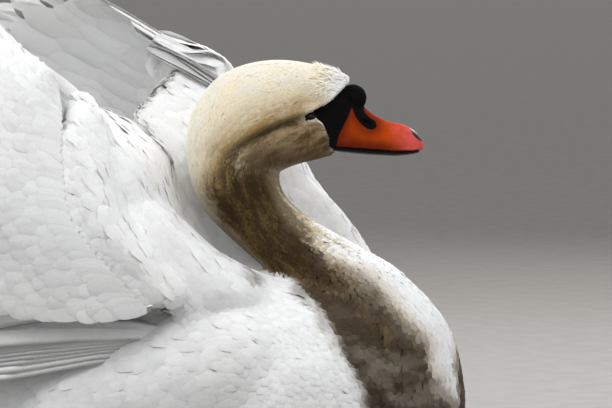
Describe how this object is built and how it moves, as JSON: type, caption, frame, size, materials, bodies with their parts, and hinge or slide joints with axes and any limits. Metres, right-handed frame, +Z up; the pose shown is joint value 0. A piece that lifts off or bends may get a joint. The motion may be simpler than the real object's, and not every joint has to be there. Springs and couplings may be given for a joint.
{
  "type": "mute swan",
  "caption": "Life-size still model of a mute swan resting on its belly in threat posture, neck drawn back and wings arched over the back.",
  "frame": {"origin": "on the floor, under the middle of the flat patch of belly that the bird rests on", "axes": "+X forward along the body, +Y to the bird's left, +Z up"},
  "size_m": [0.8648, 0.4384, 0.5517],
  "materials": {
    "white_plumage": "soft matte white feathers",
    "cream_plumage": "soft matte feathers stained cream and golden buff",
    "bare_black_skin": "matte black bare skin",
    "orange_horn": "smooth satin horn, orange shading to pink",
    "black_horn": "smooth satin black horn",
    "eye": "wet glossy dark brown",
    "foot_skin": "matte grey-black scaly skin"
  },
  "bodies": {
    "root": {"trunk": "white_plumage", "mantle": "white_plumage", "tail": "white_plumage", "neck_lower": "white_plumage", "scapulars_right": "white_plumage", "scapulars_left": "white_plumage", "wing_right": "white_plumage", "wing_left": "white_plumage", "primaries_right": "white_plumage", "primaries_left": "white_plumage", "neck_middle": "cream_plumage", "neck_upper": "cream_plumage", "head": "cream_plumage", "lores_and_knob": "bare_black_skin", "bill_upper": "orange_horn", "bill_nail": "black_horn", "bill_lower": "black_horn", "eye_right": "eye", "eye_left": "eye", "foot_left": "foot_skin", "foot_right": "foot_skin"}
  },
  "joints": []
}
